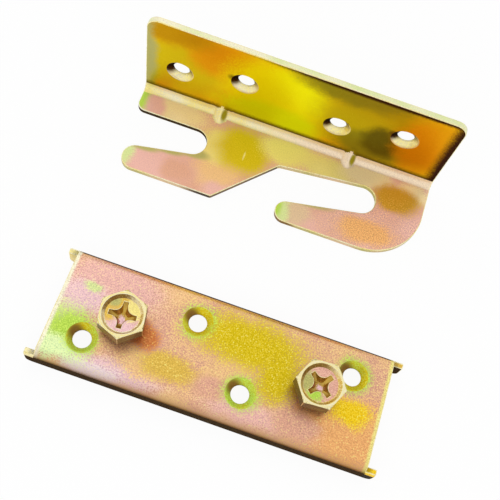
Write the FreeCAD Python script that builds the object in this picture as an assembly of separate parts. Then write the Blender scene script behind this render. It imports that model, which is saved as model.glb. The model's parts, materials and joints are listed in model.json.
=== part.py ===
import FreeCAD, Part
import math
import os

# Bed rail fastener, in millimetres: X along both plates, Y to the back, Z up, floor at Z = 0.
# A folded hook plate lies behind a channel-shaped post plate that carries two hex screws.

os.makedirs("parts", exist_ok=True)
vec = FreeCAD.Vector

# Sheet and holes, shared by both plates
sheet = 2.0
hole_diameter = 5.5
countersink_diameter = 9.2
hole_land = 0.5

# Screws, M8 x 10
thread_diameter = 8.0
thread_clearance = 0.05
shank_length = 10.0
tip_chamfer = 1.0
head_across_flats = 13.0
head_height = 5.3
hook_clearance = 1.5
head_crown = 13.4
crown_slope = math.radians(30.0)
dish_diameter = 12.0
dish_floor_diameter = 10.0
dish_depth = 1.0
cross_span = 8.2
cross_width = 1.5
cross_fillet = 2.4
cross_depth = 2.8
cross_taper = 0.5
screw_pitch = 59.2
head_turns = {"left": 39.0, "right": 4.0}
cross_turns = {"left": 4.0, "right": 50.0}

# Post plate: a channel with its flanges down
web_length = 100.0
ear_length = 3.0
ear_drop = 1.5
ear_corner = 2.0
post_width = 35.0
post_height = 8.5
post_bend_inner = 1.0
post_hole_row = 8.0
post_hole_outer = 39.0
post_hole_inner = 9.2

# Hook plate: an angle with two hooks in its lying flange
hook_length = 102.0
hook_depth = 33.0
rail_height = 38.0
hook_bend_inner = 2.5
rail_corner = 4.0
rail_hole_middle = -2.0
rail_hole_outer = 37.4
rail_hole_inner = 16.0
rail_hole_height = 19.4
rail_hole_step = 2.7

# Hooks, in plan: X from the middle of the plate, Y from its back face
slot_clearance = 1.0
slot_end_flat = 0.4
finger_root = 13.0
finger_slope = math.radians(11.5)
finger_tip_flat = 0.2
left_slot_end = -24.5
left_finger_tip = -49.0
right_finger_tip = 3.9
right_roof_slope = math.radians(6.6)
right_roof_rise = 1.0
point_x = -17.2
point_slope = math.radians(46.9)
point_radius = 1.0
notch_radius = 2.0
strip_corner = 2.8
toe_radius = 18.0

# Gussets pressed into the bend
gusset_middle = -0.9
gusset_pitch = 45.6
gusset_reach = 4.5
gusset_half_width = 2.6
gusset_foot = 0.6
gusset_foot_radius = 2.0
gusset_crest_radius = 0.9
gusset_dent_radius = 0.6

# Where the two halves lie
halves_gap = 34.0
hook_shift = -2.7

head_gap = sheet + hook_clearance
ear_tip = web_length / 2 + ear_length
right_slot_end = left_slot_end + screw_pitch
slot_floor = finger_root - hook_depth
slot_roof = slot_floor + thread_diameter + slot_clearance
right_slot_roof = slot_roof + right_roof_rise
left_bound = min(-ear_tip, hook_shift - hook_length / 2)
right_bound = max(ear_tip, hook_shift + hook_length / 2)
middle = (left_bound + right_bound) / 2
depth_overall = post_width + halves_gap + hook_depth
post_place = vec(-middle, (post_width - depth_overall) / 2, 0)
hook_place = vec(hook_shift - middle, depth_overall / 2, 0)


def rounded_wire(corners, height):
    """Closed outline at one height through (x, y, radius) corners, each rounded by a tangent arc."""
    edges = []
    ends = []
    for index, (x, y, radius) in enumerate(corners):
        here = vec(x, y, height)
        back = vec(corners[index - 1][0], corners[index - 1][1], height) - here
        ahead_x, ahead_y, _ = corners[(index + 1) % len(corners)]
        ahead = vec(ahead_x, ahead_y, height) - here
        if radius == 0:
            ends.append((here, here))
            continue
        back.normalize()
        ahead.normalize()
        half = back.getAngle(ahead) / 2
        start = here + back * (radius / math.tan(half))
        finish = here + ahead * (radius / math.tan(half))
        bisector = back + ahead
        bisector.normalize()
        crest = here + bisector * (radius / math.sin(half) - radius)
        edges.append(Part.Arc(start, crest, finish).toShape())
        ends.append((start, finish))
    for index, (start, _) in enumerate(ends):
        before = ends[index - 1][1]
        edges.append(Part.LineSegment(before, start).toShape())
    return Part.Wire(Part.__sortEdges__(edges))


def prism(corners, height):
    """Upright solid on the floor with a rounded outline."""
    return Part.Face(rounded_wire(corners, 0)).extrude(vec(0, 0, height))


def folded(section, length):
    """Sheet folded along X, from its (y, z, radius) section."""
    sheet_metal = prism(section, length)
    sheet_metal.rotate(vec(0, 0, 0), vec(1, 1, 1), 120)
    sheet_metal.translate(vec(-length / 2, 0, 0))
    return sheet_metal


def seen_from_front(corners, front, back):
    """Solid between two Y planes with a rounded (x, z, radius) outline."""
    solid = prism(corners, back - front)
    solid.rotate(vec(0, 0, 0), vec(1, 0, 0), 90)
    solid.translate(vec(0, back, 0))
    return solid


def revolved(points):
    """Solid turned about Z from (radius, height) points."""
    outline = [vec(radius, 0, height) for radius, height in points]
    face = Part.Face(Part.makePolygon(outline + outline[:1]))
    return face.revolve(vec(0, 0, 0), vec(0, 0, 1), 360)


def countersunk_hole(place, direction):
    """Cutter for one countersunk hole: place is on the countersunk face, direction goes into the sheet."""
    sink = sheet - hole_land
    cone = Part.makeCone(countersink_diameter / 2, hole_diameter / 2, sink, place, direction)
    bore = Part.makeCylinder(hole_diameter / 2, sheet, place, direction)
    return cone.fuse(bore)


def post_plate():
    """Channel with ears: the web is cut short at both ends, so the flanges stand out past it."""
    outer = post_bend_inner + sheet
    half = post_width / 2
    inside = half - sheet
    web_under = post_height - sheet
    section = [(-half, 0, 0), (-half, post_height, outer), (half, post_height, outer), (half, 0, 0),
               (inside, 0, 0), (inside, web_under, post_bend_inner),
               (-inside, web_under, post_bend_inner), (-inside, 0, 0)]
    flange_ends = [(-ear_tip, 0, ear_corner), (ear_tip, 0, ear_corner),
                   (ear_tip, post_height, 0), (-ear_tip, post_height, 0)]
    channel = folded(section, 2 * ear_tip).common(seen_from_front(flange_ends, -half, half))
    cutters = []
    for side in (-1, 1):
        start = min(side * web_length / 2, side * ear_tip)
        cutters.append(Part.makeBox(ear_length, 2 * inside, post_height, vec(start, -inside, 0)))
        above = vec(start, -half, post_height - ear_drop)
        cutters.append(Part.makeBox(ear_length, post_width, ear_drop, above))
        tapped = thread_diameter / 2 + thread_clearance
        cutters.append(Part.makeCylinder(tapped, post_height, vec(side * screw_pitch / 2, 0, 0)))
        for hole_x, row in ((post_hole_outer, post_hole_row), (post_hole_inner, -post_hole_row)):
            place = vec(side * hole_x, side * row, post_height)
            cutters.append(countersunk_hole(place, vec(0, 0, -1)))
    plate = channel.cut(cutters)
    plate.translate(post_place)
    return plate


def round_end(height, flat, roof_slope):
    """Radius of the two corners of a slot's or finger's end, between a floor at finger_slope and a roof."""
    floor_share = 1 / math.tan(math.radians(45) + finger_slope / 2)
    roof_share = 1 / math.tan(math.radians(45) - roof_slope / 2)
    return (height - flat) / (floor_share + roof_share)


def hook(slot_end, roof, roof_slope, finger_tip):
    """Corners of one slot and the finger below it, from the slot's roof round to the finger's front."""
    front = -hook_depth
    tip_top = slot_floor + (finger_tip - slot_end) * math.tan(finger_slope)
    slot_radius = round_end(roof - slot_floor, slot_end_flat, roof_slope)
    tip_radius = round_end(tip_top - front, finger_tip_flat, 0)
    return [(slot_end, roof, slot_radius), (slot_end, slot_floor, slot_radius),
            (finger_tip, tip_top, tip_radius), (finger_tip, front, tip_radius)]


def hook_outline():
    """Plan of the hook plate: a strip along the bend with two hooks that open to the left."""
    left = -hook_length / 2
    right = hook_length / 2
    front = -hook_depth
    roof_rise = math.tan(right_roof_slope)
    point_rise = math.tan(point_slope)
    roof_at_point = right_slot_roof + (point_x - right_slot_end) * roof_rise
    notch_x = point_x + (roof_at_point - front) / (point_rise - roof_rise)
    notch_y = front + (notch_x - point_x) * point_rise
    corners = [(left, 0, 0), (left, slot_roof, strip_corner)]
    corners += hook(left_slot_end, slot_roof, 0, left_finger_tip)
    corners += [(point_x, front, point_radius), (notch_x, notch_y, notch_radius)]
    corners += hook(right_slot_end, right_slot_roof, right_roof_slope, right_finger_tip)
    return corners + [(right, front, toe_radius), (right, 0, 0)]


def gusset(x, corners):
    """Rib across the bend at 45 degrees, from (x, height above the inner corner, radius) corners."""
    rib = seen_from_front(corners, -2 * gusset_reach, 2 * gusset_reach)
    rib.rotate(vec(0, 0, 0), vec(1, 0, 0), 45)
    rib.translate(vec(x, -sheet, sheet))
    return rib


def hook_plate():
    """Folded angle: its section, plan and elevation cut one solid, then the gussets are pressed in."""
    outer = hook_bend_inner + sheet
    half = hook_length / 2
    section = [(0, 0, outer), (0, rail_height, 0), (-sheet, rail_height, 0),
               (-sheet, sheet, hook_bend_inner), (-hook_depth, sheet, 0), (-hook_depth, 0, 0)]
    rail_ends = [(-half, 0, 0), (half, 0, 0),
                 (half, rail_height, rail_corner), (-half, rail_height, rail_corner)]
    plate = folded(section, hook_length).common(prism(hook_outline(), rail_height))
    plate = plate.common(seen_from_front(rail_ends, -hook_depth, 0))
    crest = gusset_reach / math.sqrt(2)
    base = 2 * gusset_half_width
    rib = [(-base, 0, 0), (base, 0, 0), (base, gusset_foot, 0),
           (gusset_half_width, gusset_foot, gusset_foot_radius), (0, crest, gusset_crest_radius),
           (-gusset_half_width, gusset_foot, gusset_foot_radius), (-base, gusset_foot, 0)]
    flank = gusset_half_width / (crest - gusset_foot)
    mouth = 2 * sheet
    dent = [(0, crest - sheet, gusset_dent_radius), (-flank * mouth, crest - sheet - mouth, 0),
            (flank * mouth, crest - sheet - mouth, 0)]
    inner_corner = vec(-half, -hook_depth - sheet / 2, sheet / 2)
    inside = Part.makeBox(hook_length, hook_depth, rail_height, inner_corner)
    for side in (-1, 1):
        x = gusset_middle + side * gusset_pitch / 2
        plate = plate.fuse(gusset(x, rib).common(inside)).cut(gusset(x, dent))
    cutters = []
    for side in (-1, 1):
        for hole_x, step in ((rail_hole_outer, side), (rail_hole_inner, -side)):
            place = vec(rail_hole_middle + side * hole_x, -sheet, rail_hole_height + step * rail_hole_step)
            cutters.append(countersunk_hole(place, vec(0, 1, 0)))
    plate = plate.cut(cutters).removeSplitter()
    plate.translate(hook_place)
    return plate


def cross_wire(span, width, fillet, height):
    """Outline of a cross recess with rounded inner corners."""
    half = span / 2
    side = width / 2
    corners = []
    for quarter in range(4):
        turn = math.radians(90 * quarter)
        for x, y, radius in ((half, -side, 0), (half, side, 0), (side, side, fillet)):
            turned_x = x * math.cos(turn) - y * math.sin(turn)
            turned_y = x * math.sin(turn) + y * math.cos(turn)
            corners.append((turned_x, turned_y, radius))
    return rounded_wire(corners, height)


def screw(side):
    """Hex screw with a dished head and a cross recess, standing head_gap off the web."""
    top = post_height + head_gap + head_height
    under = top - head_height
    tip = under - shank_length
    radius = thread_diameter / 2
    corner = head_across_flats / math.sqrt(3)
    crown = head_crown / 2
    shoulder = top - (corner - crown) * math.tan(crown_slope)
    hexagon = [(corner * math.cos(math.radians(60 * k)), corner * math.sin(math.radians(60 * k)), 0)
               for k in range(6)]
    head = prism(hexagon, head_height)
    head.translate(vec(0, 0, under))
    head = head.common(revolved([(0, under), (corner, under), (corner, shoulder), (crown, top), (0, top)]))
    floor = top - dish_depth
    dish = revolved([(0, floor), (dish_floor_diameter / 2, floor), (dish_diameter / 2, top), (0, top)])
    head.rotate(vec(0, 0, 0), vec(0, 0, 1), head_turns[side])
    mouth = cross_wire(cross_span, cross_width, cross_fillet, floor)
    bottom = cross_wire(cross_span * cross_taper, cross_width * cross_taper, cross_fillet * cross_taper,
                        floor - cross_depth)
    recess = Part.makeLoft([mouth, bottom], True, True)
    recess.rotate(vec(0, 0, 0), vec(0, 0, 1), cross_turns[side])
    shank = revolved([(0, tip), (radius - tip_chamfer, tip), (radius, tip + tip_chamfer),
                      (radius, under), (0, under)])
    solid = head.cut([dish, recess]).fuse(shank).removeSplitter()
    direction = -1 if side == "left" else 1
    solid.translate(post_place + vec(direction * screw_pitch / 2, 0, 0))
    return solid


nodes = {
    "post_plate": post_plate(),
    "hook_plate": hook_plate(),
    "screw_left": screw("left"),
    "screw_right": screw("right"),
}
for name, shape in nodes.items():
    print(name, shape.isValid(), len(shape.Solids), round(shape.Volume, 1))
    shape.exportStep("parts/" + name + ".step")
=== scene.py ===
import json
import math

import bmesh
import bpy
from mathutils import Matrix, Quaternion, Vector


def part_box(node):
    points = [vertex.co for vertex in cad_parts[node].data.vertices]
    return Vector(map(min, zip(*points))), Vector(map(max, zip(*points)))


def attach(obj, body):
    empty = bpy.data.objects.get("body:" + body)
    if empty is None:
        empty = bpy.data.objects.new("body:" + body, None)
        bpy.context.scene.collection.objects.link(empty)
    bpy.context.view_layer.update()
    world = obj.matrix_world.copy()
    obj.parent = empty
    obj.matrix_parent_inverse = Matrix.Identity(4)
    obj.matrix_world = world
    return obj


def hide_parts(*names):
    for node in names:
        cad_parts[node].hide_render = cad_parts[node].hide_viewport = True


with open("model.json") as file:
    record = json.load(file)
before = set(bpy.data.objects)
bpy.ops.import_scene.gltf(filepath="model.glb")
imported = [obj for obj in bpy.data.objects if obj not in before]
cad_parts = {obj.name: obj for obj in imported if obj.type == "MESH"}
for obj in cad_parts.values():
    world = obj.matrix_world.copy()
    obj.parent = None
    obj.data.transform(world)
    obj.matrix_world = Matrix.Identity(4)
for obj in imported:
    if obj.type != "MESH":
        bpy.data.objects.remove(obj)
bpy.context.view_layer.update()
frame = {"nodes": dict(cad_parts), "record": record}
mm = 0.001

# Post plate: the half that is screwed to the bed post, a channel folded from 2 mm sheet steel.
# It is zinc plated and dipped in yellow chromate, whose thin film shines lime, pink, peach and mustard.
# The film is thin at the sheared edges and round the punched holes, and pooled in the middle of the web.
weld_distance = 0.0005 * mm
flat_angle = math.radians(0.4)
edge_angle = math.radians(28)
edge_round = 0.25 * mm


def seen(red, green, blue):
    """A colour given as it looks on a screen, 0 to 255, as the linear values that shaders use."""
    shares = [level / 255 for level in (red, green, blue)]
    return [c / 12.92 if c <= 0.04045 else ((c + 0.055) / 1.055) ** 2.4 for c in shares] + [1.0]


white = seen(255, 255, 255)
lime = seen(186, 222, 84)
pale_lime = seen(220, 232, 160)
mint = seen(230, 252, 184)
cream = seen(250, 242, 210)
straw = seen(248, 230, 140)
painted_front_highlight = seen(248, 226, 228)
lilac = seen(242, 200, 204)
pink = seen(242, 188, 178)
salmon = seen(230, 172, 148)
peach = seen(246, 198, 142)
orange = seen(246, 180, 116)
painted_head_reflection = seen(214, 126, 70)
gold = seen(230, 190, 84)
mustard = seen(224, 196, 24)
sunny = seen(252, 210, 30)
bronze = seen(132, 98, 44)
brown = seen(64, 48, 34)


def add_node(tree, kind, inputs, **options):
    """Adds a shader node with its options, then sets or links its inputs."""
    made = tree.nodes.new("ShaderNode" + kind)
    for name, value in options.items():
        setattr(made, name, value)
    for key, value in inputs.items():
        if isinstance(value, bpy.types.NodeSocket):
            tree.links.new(value, made.inputs[key])
        else:
            made.inputs[key].default_value = value
    return made


def calculate(tree, operation, first, second, third=0.0):
    """One Math node's result."""
    return add_node(tree, "Math", {0: first, 1: second, 2: third}, operation=operation).outputs[0]


def noise(tree, place, size, detail):
    """Noise from 0 to 1 whose blotches are about that size in metres."""
    texture = add_node(tree, "TexNoise", {"Vector": place, "Scale": 1 / size, "Detail": detail})
    return texture.outputs["Fac"]


def blend(tree, share, colour, other):
    """Mix of two colours, all of the other one where the share is 1."""
    return add_node(tree, "Mix", {0: share, 6: colour, 7: other}, data_type="RGBA").outputs[2]


spot_rim = 0.12
spot_core = 0.60


def spot(tree, place, speckle, ragged, middle, reach):
    """A soft spot with a speckled rim: 1 in the middle of an ellipsoid, 0 outside it."""
    local = add_node(tree, "Mapping", {"Vector": place, "Location": middle, "Scale": reach},
                     vector_type="TEXTURE")
    ball = add_node(tree, "TexGradient", {"Vector": local.outputs[0]}, gradient_type="SPHERICAL")
    rough = calculate(tree, "MULTIPLY_ADD", speckle, ragged, ball.outputs["Fac"])
    soft = add_node(tree, "MapRange", {"Value": rough, "From Min": spot_rim, "From Max": spot_core},
                    interpolation_type="SMOOTHSTEP")
    return soft.outputs["Result"]


ripple_size = 7 * mm
ripple_reach = 5 * mm
drift_size = 12 * mm
drift_speckle = 0.25
drift_start = 0.35
drift_end = 0.65
grain_size = 0.4 * mm
satin_size = 0.3 * mm
satin_height = 0.05 * mm
satin_strength = 0.12
smoothest = 0.22
roughest = 0.42
border_ragged = 0.12
sparkle_gain = 0.5


def plating(name, main, second, patches=(), borders=(), grain=0.35, metal=0.85, ragged=0.45, sheen=0.5,
            tint=white, sparkle=None):
    """Chromate film on zinc, and also painted light and shade: two colours that drift into each other, under
    patches of (middle, reach, colour) with rippled rims and then borders with straight ones. The tint colours
    the shine, and the grain is stronger round a sparkle of (middle, reach)."""
    material = bpy.data.materials.new(name)
    material.use_nodes = True
    tree = material.node_tree
    shader = tree.nodes["Principled BSDF"]
    place = add_node(tree, "TexCoord", {}).outputs["Object"]
    ripple = add_node(tree, "TexNoise", {"Vector": place, "Scale": 1 / ripple_size, "Detail": 6.0})
    centred = add_node(tree, "VectorMath", {0: ripple.outputs["Color"], 1: (0.5, 0.5, 0.5)},
                       operation="SUBTRACT")
    reach_out = (ripple_reach, ripple_reach, ripple_reach)
    bent = add_node(tree, "VectorMath", {0: centred.outputs[0], 1: reach_out, 2: place},
                    operation="MULTIPLY_ADD").outputs[0]
    speckle = calculate(tree, "MULTIPLY_ADD", noise(tree, place, grain_size, 1.0), 2.0, -1.0)
    if sparkle:
        glitter = spot(tree, place, speckle, border_ragged, *sparkle)
        grain = calculate(tree, "MULTIPLY_ADD", glitter, sparkle_gain, grain)
    drift = calculate(tree, "MULTIPLY_ADD", speckle, drift_speckle, noise(tree, place, drift_size, 4.0))
    drift = add_node(tree, "MapRange", {"Value": drift, "From Min": drift_start, "From Max": drift_end})
    colour = blend(tree, drift.outputs["Result"], main, second)
    for middle, reach, patch_colour in patches:
        colour = blend(tree, spot(tree, bent, speckle, ragged, middle, reach), colour, patch_colour)
    colour = blend(tree, calculate(tree, "MULTIPLY", speckle, grain), colour, straw)
    for middle, reach, border_colour in borders:
        colour = blend(tree, spot(tree, place, speckle, border_ragged, middle, reach), colour, border_colour)
    glint = calculate(tree, "MULTIPLY_ADD", speckle, grain, 1.0)
    colour = add_node(tree, "VectorMath", {0: colour, "Scale": glint}, operation="SCALE").outputs[0]
    satin = noise(tree, place, satin_size, 1.0)
    gloss = add_node(tree, "MapRange", {"Value": satin, "To Min": smoothest, "To Max": roughest})
    bump = add_node(tree, "Bump", {"Height": satin, "Strength": satin_strength, "Distance": satin_height})
    tree.links.new(colour, shader.inputs["Base Color"])
    tree.links.new(gloss.outputs["Result"], shader.inputs["Roughness"])
    tree.links.new(bump.outputs["Normal"], shader.inputs["Normal"])
    shader.inputs["Metallic"].default_value = metal
    shader.inputs["Specular IOR Level"].default_value = sheen
    shader.inputs["Specular Tint"].default_value = tint
    return material


def plated_copy(node):
    """Clean copy of a node's mesh: triangles welded and flat ones merged, with its outer edges marked."""
    work = bmesh.new()
    work.from_mesh(frame["nodes"][node].data)
    bmesh.ops.remove_doubles(work, verts=work.verts, dist=weld_distance)
    bmesh.ops.dissolve_limit(work, angle_limit=flat_angle, verts=work.verts, edges=work.edges)
    weight = work.edges.layers.float.new("bevel_weight_edge")
    for edge in work.edges:
        edge[weight] = 1.0 if edge.is_convex and edge.calc_face_angle(0) > edge_angle else 0.0
    for face in work.faces:
        face.smooth = True
        face.material_index = 0
    return work


def finish_piece(work, node, body, materials):
    """Turns the sorted bmesh into a piece that stands for its node; rounded edges take the last material."""
    mesh = bpy.data.meshes.new(node + "_plated")
    work.to_mesh(mesh)
    work.free()
    piece = bpy.data.objects.new(node + "_plated", mesh)
    bpy.context.scene.collection.objects.link(piece)
    for material in materials:
        mesh.materials.append(material)
    rounding = piece.modifiers.new("rounded_edges", "BEVEL")
    rounding.width = edge_round
    rounding.segments = 2
    rounding.limit_method = "WEIGHT"
    rounding.use_clamp_overlap = False
    rounding.material = len(materials) - 1
    flatness = piece.modifiers.new("flat_faces", "WEIGHTED_NORMAL")
    flatness.weight = 100
    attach(piece, body)
    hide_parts(node)


def mount_holes(name):
    """Middles of the two holes of one of the record's bolt patterns."""
    mount = next(entry for entry in frame["record"]["mounts"] if entry["name"] == name)
    half = Vector((mount["dims"]["spacing_x_mm"] / 2 * mm, 0, 0))
    middle = Vector(mount["pos_m"])
    return [middle - half, middle + half]


hole_wall_reach = 5.2 * mm
hole_wall_facing = 0.95


def sort_holes(work, holes, axis):
    """Gives the walls of the holes along that axis the second material and leaves their rims sharp."""
    weight = work.edges.layers.float["bevel_weight_edge"]
    for face in work.faces:
        middle = face.calc_center_median()
        near_hole = any((middle - hole).length < hole_wall_reach for hole in holes)
        if near_hole and abs(face.normal[axis]) < hole_wall_facing:
            face.material_index = 1
            for edge in face.edges:
                edge[weight] = 0.0


def shades(holes, shift, reach, colour):
    """A patch beside the middle of each hole, in millimetres."""
    return [(hole + Vector(shift) * mm, (reach * mm, reach * mm, reach * mm), colour) for hole in holes]


post_low, post_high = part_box("post_plate")
web_middle = Vector(((post_low.x + post_high.x) / 2, (post_low.y + post_high.y) / 2, post_high.z))
web_end = 50 * mm
deep = 300 * mm


def on_web(x, y, reach_x, reach_y, colour):
    """One patch on the web, in millimetres from its middle."""
    return web_middle + Vector((x, y, 0)) * mm, (reach_x * mm, reach_y * mm, deep), colour


web_patches = [
    on_web(-36, 10, 24, 12, pink),
    on_web(-44, 3, 12, 8, lilac),
    on_web(-28, -14, 22, 6, lilac),
    on_web(-20, -10, 12, 6, peach),
    on_web(-13, -8, 14, 6, gold),
    on_web(42, -9, 26, 16, orange),
    on_web(7, 7, 28, 12, mustard),
    on_web(18, 0, 10, 13, mustard),
    on_web(12, -13, 18, 6, pink),
    on_web(28, -12, 11, 6, salmon),
    on_web(41, -3, 10, 6, sunny),
    on_web(-47, -7, 12, 12, pale_lime),
    on_web(-43, -7, 11, 9, lime),
    # Painted highlight: a pale glow along the front bend on the left.
    on_web(-34, -16, 14, 4, painted_front_highlight),
    on_web(-45, -13, 13, 6, mint),
    on_web(-42, 7, 4, 2.5, pale_lime),
    # Painted reflection and shadow of the left head on the web beside it.
    on_web(-22, -2, 7, 6, painted_head_reflection),
    on_web(1, -9, 9, 5, salmon),
]
post_holes = mount_holes("post_holes_front") + mount_holes("post_holes_back")
web_patches += shades(post_holes, (0, 0, 0), 8.0, lime)
flange_foot = web_middle + Vector((0, -21 * mm, -post_high.z))
back_bend = Vector((web_middle.x, post_high.y, post_high.z - 1.2 * mm))
# Painted shade: brown along the back bend, and bronze to brown over the front bend and the front flange.
web_borders = [
    (back_bend, (deep, 1.4 * mm, 2.4 * mm), brown),
    (web_middle - Vector((web_end, 0, 0)), (1.8 * mm, deep, deep), cream),
    (web_middle + Vector((web_end, 0, 0)), (1.8 * mm, deep, deep), straw),
    (flange_foot, (deep, 12.5 * mm, 13 * mm), bronze),
    (flange_foot, (deep, 9.5 * mm, 10.5 * mm), brown),
]
sheet_film = plating("sheet_film", salmon, peach, web_patches, web_borders, grain=0.5, tint=brown)
# Painted shade: a bronze crescent on the upper left of each countersink.
painted_sink_shade = shades(post_holes, (-3.5, 2.0, -1.0), 5.0, bronze)
sink_film = plating("sink_film", mustard, lime, (), painted_sink_shade, metal=0.2, sheen=0.1, tint=bronze)
ear_patches = [on_web(52, -17, 8, 7, sunny), on_web(52, 17, 8, 7, gold)]
sheared_film = plating("sheared_film", cream, straw, ear_patches, metal=0.4, tint=gold)
# Painted shade: flat dark brown without shine, for the outer face of the front flange, the inner face of the
# back-right ear and the roof of the left slot.
painted_shade_film = plating("painted_shade_film", brown, brown, grain=0.08, metal=0.0, sheen=0.0)
# The rounded edges are real; their pale straw and cream is a painted highlight.
edge_highlight = plating("edge_highlight", straw, cream)
post_films = [sheet_film, sink_film, sheared_film, painted_shade_film, edge_highlight]

# How far a face points along an axis, as a share of its normal
hardly = 0.05
mostly = 0.9
fully = 0.99

work = plated_copy("post_plate")
for end in (web_middle.x - web_end, web_middle.x + web_end):
    bmesh.ops.bisect_plane(work, geom=work.verts[:] + work.edges[:] + work.faces[:],
                           plane_co=(end, 0, 0), plane_no=(1, 0, 0), dist=weld_distance)
sort_holes(work, post_holes, 2)
# The ear tops, and every face of the back-left ear, take the pale edge film; the outer face of the front
# flange, bar the right ear, and the inner face of the back-right ear take painted shade.
for face in work.faces:
    middle = face.calc_center_median() - web_middle
    on_ear = abs(middle.x) > web_end
    bright_ear = on_ear and (face.normal.z > hardly or middle.x < 0 < middle.y)
    if abs(face.normal.x) > mostly or bright_ear:
        face.material_index = post_films.index(sheared_film)
    elif face.normal.y < -fully and (middle.y < 0) != (middle.x > web_end):
        face.material_index = post_films.index(painted_shade_film)
finish_piece(work, "post_plate", "plates", post_films)

# Screws: two M8 hex screws with a dished head and a cross recess, turned into tapped holes in the web.
# Each is cold-headed steel with a rolled thread, plated like the sheet; the dish is green and pink.
thread_pitch = 1.25 * mm
thread_depth = 0.7 * mm
thread_radius = 4.0 * mm
groove_slope = 1.3
root_flat = 0.1
tip_chamfer = 1.0 * mm
runout_start = 0.5 * mm
runout_length = 0.9 * mm
rings_per_turn = 8
head_height = 5.3 * mm
dish_depth = 1.0 * mm
dish_radius = 6.05 * mm
screw_round = 0.4
hair = 0.06 * mm
partly = 0.3


def threaded_shank(work, axis, under, tip):
    """Takes the plain shank off and draws a threaded one, ring by ring, out of the loop under the head."""
    plain = [face for face in work.faces if face.calc_center_median().z < under - hair]
    bmesh.ops.delete(work, geom=plain, context="FACES")
    ring = [edge for edge in work.edges if edge.is_boundary]
    steps = round((under - tip) / thread_pitch * rings_per_turn)
    for step in range(1, steps + 1):
        height = under + (tip - under) * step / steps
        drawn = bmesh.ops.extrude_edge_only(work, edges=ring)["geom"]
        corners = [item for item in drawn if isinstance(item, bmesh.types.BMVert)]
        ring = [item for item in drawn if isinstance(item, bmesh.types.BMEdge)]
        runout = min(1.0, max(0.0, (under - height - runout_start) / runout_length))
        largest = min(thread_radius, thread_radius - tip_chamfer + (height - tip))
        for corner in corners:
            outward = Vector((corner.co.x - axis.x, corner.co.y - axis.y, 0))
            turn = math.atan2(outward.y, outward.x) / (2 * math.pi)
            flank = abs(2 * ((height / thread_pitch - turn) % 1.0) - 1)
            groove = 1 - min(1.0, max(0.0, groove_slope * flank - root_flat))
            radius = min(largest, thread_radius - thread_depth * groove * runout)
            corner.co = axis + outward.normalized() * radius
            corner.co.z = height
    bmesh.ops.contextual_create(work, geom=ring)
    bmesh.ops.recalc_face_normals(work, faces=work.faces)


def plated_screw(side, main, second, tint, patches):
    """One screw: head from its node, thread drawn under it, patches of (x, y, reach, colour) in its dish."""
    node = "screw_" + side
    low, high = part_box(node)
    axis = Vector(((low.x + high.x) / 2, (low.y + high.y) / 2, 0))
    under = high.z - head_height
    dish_floor = high.z - dish_depth

    def in_dish(spots):
        """Patches in the dish, in millimetres from the screw's axis."""
        return [(axis + Vector((x * mm, y * mm, dish_floor)), (reach * mm, reach * mm, deep), colour)
                for x, y, reach, colour in spots]

    dish_film = plating("dish_film_" + side, main, second, in_dish(patches), tint=tint)
    # The dish wall has a painted shadow, bronze on its upper left.
    wall_film_and_shadow = plating("wall_film_and_shadow_" + side, gold, cream, in_dish([(-4.0, 4.5, 9.0, bronze)]), tint=bronze)
    # Painted shade: the cross recess is gold and bronze, darker than the dish.
    recess_shade_film = plating("recess_shade_film_" + side, gold, bronze, in_dish([(0.0, -0.5, 1.6, lilac)]), tint=lilac)
    films = [dish_film, recess_shade_film, painted_shade_flank, wall_film_and_shadow, rim_highlight_film, edge_highlight]
    work = plated_copy(node)
    weight = work.edges.layers.float["bevel_weight_edge"]
    for edge in work.edges:
        edge[weight] *= screw_round
    threaded_shank(work, axis, under, low.z)
    for face in work.faces:
        face.smooth = True
        middle = face.calc_center_median()
        inside = (middle - axis).to_2d().length < dish_radius
        film = dish_film
        if middle.z > high.z - hair or (not inside and face.normal.z > partly):
            film = rim_highlight_film
        elif inside and under < middle.z < dish_floor - hair:
            film = recess_shade_film
        elif inside and middle.z > dish_floor + hair:
            film = wall_film_and_shadow
        elif not inside or middle.z < under + hair:
            film = painted_shade_flank
        face.material_index = films.index(film)
    finish_piece(work, node, node, films)


moss = seen(190, 184, 112)
# Painted shade: the hex flanks, and the slanting front edges of the left hook, are dark brown and bronze
# without shine.
painted_shade_flank = plating("painted_shade_flank", brown, bronze, grain=0.15, metal=0.0, sheen=0.1)
# Painted highlight: the flat rim on top of each head is cream and straw.
rim_highlight_film = plating("rim_highlight_film", cream, straw, grain=0.08)
left_dish = [(-1.5, 3.4, 6.0, gold), (3.6, 2.4, 4.6, straw), (-4.6, -0.4, 4.0, gold), (-2.6, 2.8, 2.4, moss)]
right_dish = [(-4.2, -0.8, 4.8, moss), (-0.6, -3.6, 3.2, lime)]
plated_screw("left", pink, lilac, moss, left_dish)
plated_screw("right", salmon, pink, lime, right_dish)

# Hook plate: the half that is screwed to the bed rail, an angle folded from the same 2 mm plated sheet.
# Two hooks are blanked in the lying flange, and two gussets are pressed into the bend to stiffen it.
# The upright flange has a thicker, golden film; the tips of the hooks have a thin lime one.
hook_low, hook_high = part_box("hook_plate")
hook_back = Vector(((hook_low.x + hook_high.x) / 2, hook_high.y, 0))
sheet = 2.0 * mm
bend_reach = 4.6 * mm
gusset_top = 7.0 * mm
slot_middle = 19 * mm
end_reach = 0.1 * mm
slightly = 0.2


def on_hooks(x, y, reach_x, reach_y, colour):
    """One patch on the lying flange, in millimetres from the middle of the plate's back."""
    return hook_back + Vector((x * mm, y * mm, sheet)), (reach_x * mm, reach_y * mm, deep), colour


def on_rail(x, z, reach_x, reach_z, colour):
    """One patch on the upright flange, in millimetres from the middle of the plate's foot."""
    return hook_back + Vector((x * mm, -sheet, z * mm)), (reach_x * mm, deep, reach_z * mm), colour


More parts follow.
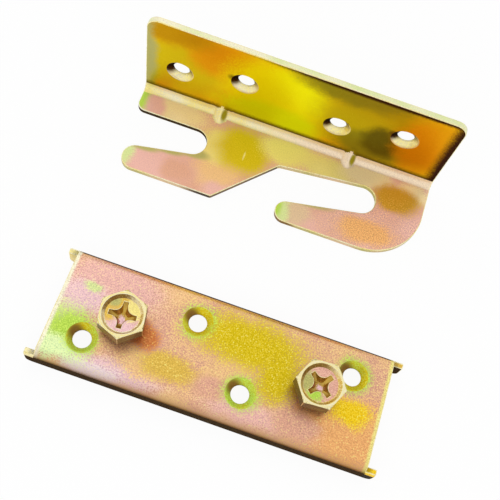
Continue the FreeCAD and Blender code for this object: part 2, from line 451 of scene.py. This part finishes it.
shine = seen(255, 230, 176)
sand = seen(230, 198, 162)
painted_bend_highlight = seen(250, 228, 200)
honey = seen(206, 152, 4)
tan = seen(212, 158, 44)
yellow = seen(255, 246, 8)
citron = seen(236, 246, 6)
khaki = seen(202, 176, 12)
amber = seen(240, 166, 8)
olive = seen(156, 142, 30)
dark_olive = seen(112, 98, 12)
umber = seen(66, 40, 14)
hook_patches = [
    # Painted light: the shine patches along the bend, on the left, in the middle and on the right.
    on_hooks(-38, -7, 18, 9, shine),
    on_hooks(-46, -8, 6, 10, pink),
    on_hooks(-52, -8, 6, 12, lime),
    on_hooks(-18, -22, 12, 14, peach),
    on_hooks(-21, -15, 11, 10, straw),
    on_hooks(-12, -13, 14, 13, mustard),
    on_hooks(2, -8, 14, 9, straw),
    on_hooks(16, -9, 18, 8, straw),
    on_hooks(30, -7, 14, 7, shine),
    on_hooks(-38, -28, 20, 8, pink),
    on_hooks(-30, -28, 9, 6, salmon),
    on_hooks(-14, -31, 10, 5, pink),
    on_hooks(10, -28, 9, 8, sand),
    on_hooks(-50, -28, 6, 12, pale_lime),
    on_hooks(34, -27, 14, 7, orange),
    on_hooks(46, -8, 9, 7, shine),
    # Painted reflection of the upright flange: tan on the right.
    on_hooks(41, -12, 12, 8, tan),
    on_hooks(4, -30, 7, 10, pale_lime),
    on_hooks(3, -30, 4, 8, lime),
]
scratch = on_hooks(-11.5, -15.0, 0.45, 2.4, straw)
hook_borders = [
    on_hooks(-28, -20.0, 9, 3, moss),
    on_hooks(-36, -21.6, 9, 3, moss),
    on_hooks(-44, -23.4, 9, 3, moss),
    on_hooks(12, -23.0, 14, 3, moss),
    scratch,
]
rail_patches = [
    on_rail(-40, 18, 24, 20, mustard),
    on_rail(-26, 29, 16, 14, amber),
    on_rail(-44, 38, 24, 13, honey),
    on_rail(-6, 23, 28, 24, yellow),
    on_rail(-8, 9, 28, 12, citron),
    on_rail(26, 22, 30, 26, khaki),
    on_rail(26, 12, 18, 12, olive),
    on_rail(29, 16, 10, 12, dark_olive),
    on_rail(16, 38, 30, 12, olive),
    on_rail(42, 22, 14, 22, amber),
    on_rail(-52, 20, 7, 30, moss),
]
# Painted shade along the foot of the upright, in the crease of the bend; the top edge and the right end are
# darker too.
rail_borders = [
    on_rail(0, 2.5, deep / mm, 5.5, dark_olive),
    on_rail(26, 38, 60, 2.6, umber),
    on_rail(53, 20, 8, 80, umber),
]
rail_holes = mount_holes("rail_holes_low") + mount_holes("rail_holes_high")
smudged_holes = sorted(rail_holes, key=lambda hole: hole.x)[1::2]
rail_borders += shades(smudged_holes, (-4.4, 0, 1.5), 3.0, umber)
toe_middle = hook_back + Vector((40 * mm, -26 * mm, sheet))
toe_reach = (34 * mm, 20 * mm, deep)
hook_film = plating("hook_film", pink, salmon, hook_patches, hook_borders,
                    grain=0.18, metal=0.25, ragged=0.25, tint=straw, sparkle=(toe_middle, toe_reach))
edge_film = plating("edge_film", cream, pale_lime, metal=0.4)
# Painted shade on the sheared edges that face the front: mid-tone, with brown and bronze near the points of
# the hooks.
front_shade_patches = [on_hooks(-15, -33, 16, 6, brown), on_hooks(6, -33, 8, 6, bronze)]
painted_front_shade = plating("painted_front_shade", moss, sand, (), front_shade_patches,
                     grain=0.1, metal=0.0, sheen=0.1, tint=bronze)
gusset_places = (-23.7 * mm, 21.9 * mm)
# Painted shade: olive on the right flank of each gusset.
gusset_shade_borders = [(hook_back + Vector((x + 1.3 * mm, -4 * mm, 4 * mm)), (1.5 * mm, 3.5 * mm, 3.5 * mm), olive)
                for x in gusset_places]
# Painted highlight: the bend is cream and straw, and pearl towards the right.
bend_patches = [on_hooks(30, -4, 50, 40, painted_bend_highlight)]
bend_highlight_film = plating("bend_highlight_film", cream, straw, bend_patches, gusset_shade_borders,
                    grain=0.25, metal=0.5, tint=olive)
rail_film = plating("rail_film", sunny, amber, rail_patches, rail_borders,
                    grain=0.06, ragged=0.12, tint=umber)
# Painted shade: umber on the left of each countersink in the upright flange.
painted_rail_sink_shade = shades(rail_holes, (-3.6, 0, 0.8), 5.0, umber)
rail_sink = plating("rail_sink", cream, straw, (), painted_rail_sink_shade, tint=umber)
hook_films = [hook_film, rail_sink, edge_film, rail_film, bend_highlight_film, painted_shade_film, painted_shade_flank, painted_front_shade,
              edge_highlight]
gusset_flare = 4.5 * mm
gusset_zone = 8.0 * mm
bend_end = 4.5 * mm
gusset_cell = 0.5 * mm
gusset_smoothing = 12
smoothing_share = 0.5


def faces_in_bend(work, x, reach):
    """Faces on the inner side of the plate whose middles lie within that reach of a gusset along the bend."""
    return [face for face in work.faces if face.normal.z - face.normal.y > partly
            and abs(face.calc_center_median().x - hook_back.x - x) < reach]


def cut_faces(work, faces, place, direction):
    """Cuts only those faces along a plane."""
    edges = list(dict.fromkeys(edge for face in faces for edge in face.edges))
    corners = list(dict.fromkeys(corner for face in faces for corner in face.verts))
    bmesh.ops.bisect_plane(work, geom=faces + edges + corners, plane_co=hook_back + Vector(place),
                           plane_no=direction, dist=weld_distance)


def soften_gusset(work, x):
    """Cuts the bend round a gusset into small cells and smooths them, so that the ridge flares out."""

    def in_zone():
        """Faces of the bend close enough to the gusset to be smoothed with it."""
        zone = []
        for face in faces_in_bend(work, x, gusset_flare):
            middle = face.calc_center_median() - hook_back
            if middle.y > -gusset_zone and middle.z < gusset_zone:
                zone.append(face)
        return zone

    for side in (-1, 1):
        cut_faces(work, faces_in_bend(work, x, deep), (x + side * gusset_flare, 0, 0), (1, 0, 0))
    cut_faces(work, faces_in_bend(work, x, gusset_flare), (0, 0, gusset_zone), (0, 0, 1))
    cut_faces(work, faces_in_bend(work, x, gusset_flare), (0, -gusset_zone, 0), (0, 1, 0))
    along = round(gusset_flare / gusset_cell)
    for step in range(1 - along, along):
        cut_faces(work, in_zone(), (x + step * gusset_flare / along, 0, 0), (1, 0, 0))
    rise = round((gusset_zone - bend_end) / gusset_cell)
    for step in range(rise):
        distance = bend_end + (gusset_zone - bend_end) * step / rise
        cut_faces(work, in_zone(), (0, 0, distance), (0, 0, 1))
        cut_faces(work, in_zone(), (0, -distance, 0), (0, 1, 0))
    zone = set(in_zone())
    corners = [corner for corner in work.verts if corner.link_faces and zone.issuperset(corner.link_faces)]
    for turn in range(gusset_smoothing):
        bmesh.ops.smooth_vert(work, verts=corners, factor=smoothing_share,
                              use_axis_x=True, use_axis_y=True, use_axis_z=True)
    work.normal_update()


work = plated_copy("hook_plate")
for gusset_place in gusset_places:
    soften_gusset(work, gusset_place)
sort_holes(work, rail_holes, 1)
for face in work.faces:
    if face.material_index == hook_films.index(rail_sink):
        continue
    middle = face.calc_center_median()
    local = middle - hook_back
    upright = middle.z > bend_reach
    across = face.normal.y if upright else face.normal.z
    from_end = min(middle.x - hook_low.x, hook_high.x - middle.x)
    at_end = abs(face.normal.x) > mostly and from_end < end_reach
    clear_of_bend = middle.z > gusset_top or local.y < -gusset_top
    film = hook_film
    # Sheared faces that face the front take painted shade: dark in the roof of the left slot, dark brown on
    # the slanting edges of the left hook, mid-tone on the rest.
    if at_end or (abs(across) < slightly and clear_of_bend):
        at_front = face.normal.y < -partly and not upright
        if at_front and local.x < 0 and local.y > -slot_middle:
            film = painted_shade_film
        elif at_front and local.x < 0 and face.normal.x > slightly:
            film = painted_shade_flank
        elif at_front:
            film = painted_front_shade
        else:
            film = edge_film
    elif upright and abs(face.normal.y) > mostly:
        film = rail_film
    elif not clear_of_bend and face.normal.z < fully:
        film = bend_highlight_film
    face.material_index = hook_films.index(film)
finish_piece(work, "hook_plate", "plates", hook_films)

# Floor, light and camera: a pale floor under two soft boxes, seen from above the front of the channel.
# The floor, and the sky low over it, show almost white to the eye and in the metal.
# The floor keeps a faint shadow.
floor_size = 4.0
white_share = 0.93
low_sky = 0.12
high_sky = 0.90
horizon = 0.05
overhead = 0.45


def seen_directly(tree):
    """1 for what is seen, straight or in the metal, and 0 for what only lights the object."""
    path = add_node(tree, "LightPath", {})
    direct = calculate(tree, "MAXIMUM", path.outputs["Is Camera Ray"], path.outputs["Is Glossy Ray"])
    return calculate(tree, "MAXIMUM", direct, path.outputs["Is Transmission Ray"])


bpy.ops.mesh.primitive_plane_add(size=floor_size, location=(0, 0, 0))
floor = bpy.context.object
floor.name = "floor"
floor_paint = bpy.data.materials.new("floor_paint")
floor_paint.use_nodes = True
tree = floor_paint.node_tree
floor_shader = tree.nodes["Principled BSDF"]
floor_shader.inputs["Base Color"].default_value = seen(248, 248, 248)
floor_shader.inputs["Roughness"].default_value = 0.9
floor_shader.inputs["Specular IOR Level"].default_value = 0.0
glow = add_node(tree, "Emission", {"Color": white, "Strength": 1.0})
share = calculate(tree, "MULTIPLY", seen_directly(tree), white_share)
mixed = add_node(tree, "MixShader", {0: share, 1: floor_shader.outputs[0], 2: glow.outputs[0]})
tree.links.new(mixed.outputs[0], tree.nodes["Material Output"].inputs["Surface"])
floor.data.materials.append(floor_paint)

world = bpy.data.worlds.new("studio")
bpy.context.scene.world = world
world.use_nodes = True
tree = world.node_tree
sky = tree.nodes["Background"]
direction = add_node(tree, "TexCoord", {}).outputs["Generated"]
height = add_node(tree, "SeparateXYZ", {"Vector": direction}).outputs[2]
low_level = calculate(tree, "MULTIPLY_ADD", seen_directly(tree), 1.0 - low_sky, low_sky)
level = add_node(tree, "MapRange", {"Value": height, "From Min": horizon, "From Max": overhead,
                                    "To Min": low_level, "To Max": high_sky}, interpolation_type="SMOOTHSTEP")
tree.links.new(level.outputs["Result"], sky.inputs["Strength"])
sky.inputs["Color"].default_value = white


def soft_box(name, place, size_x, size_y, energy):
    """A rectangular lamp that looks at the middle of the floor."""
    light = bpy.data.lights.new(name, "AREA")
    light.shape = "RECTANGLE"
    light.size = size_x
    light.size_y = size_y
    light.energy = energy
    lamp = bpy.data.objects.new(name, light)
    bpy.context.scene.collection.objects.link(lamp)
    lamp.location = place
    lamp.rotation_mode = "QUATERNION"
    lamp.rotation_quaternion = (-lamp.location).to_track_quat("-Z", "Y")
    return lamp


soft_box("back_box", (-0.25, 0.25, 0.6), size_x=0.5, size_y=0.4, energy=0.12)
front_box = soft_box("front_box", (0.0, -0.6, 0.55), size_x=0.8, size_y=0.4, energy=1.2)
front_box.visible_glossy = False

camera_place = Vector((0.4, -99.6, 238.9)) * mm
camera_target = Vector((-1.6, 5.45, 0.0)) * mm
camera_roll = math.radians(18.27)
camera_data = bpy.data.cameras.new("camera")
camera_data.lens = 58.95
camera_data.clip_start = 0.01
camera = bpy.data.objects.new("camera", camera_data)
bpy.context.scene.collection.objects.link(camera)
camera.location = camera_place
camera.rotation_mode = "QUATERNION"
aim = (camera_target - camera_place).to_track_quat("-Z", "Y")
camera.rotation_quaternion = aim @ Quaternion((0, 0, 1), camera_roll)
bpy.context.scene.camera = camera
bpy.context.scene.view_settings.view_transform = "Standard"
